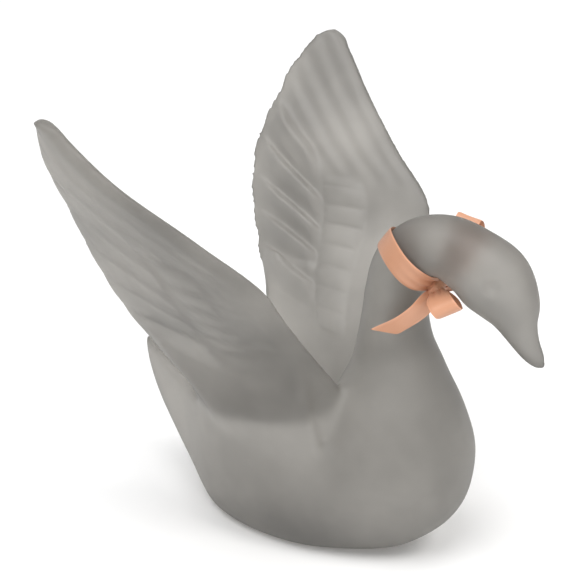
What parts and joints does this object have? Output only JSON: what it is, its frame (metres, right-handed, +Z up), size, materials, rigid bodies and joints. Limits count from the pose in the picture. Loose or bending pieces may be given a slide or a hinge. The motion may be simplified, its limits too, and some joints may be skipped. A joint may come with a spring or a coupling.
{
  "type": "glass swan figurine",
  "caption": "Solid frosted glass swan with raised wings and a peach satin ribbon tied round its neck.",
  "frame": {"origin": "on the floor, below the middle of the whole outline", "axes": "+Z up, the swan faces -Y and its left wing is at +X"},
  "size_m": [0.135, 0.1234, 0.1264],
  "materials": {
    "frosted_glass": "frosted, matt",
    "peach_satin": "satin"
  },
  "bodies": {
    "root": {"swan": "frosted_glass", "ribbon": "peach_satin"}
  },
  "joints": []
}
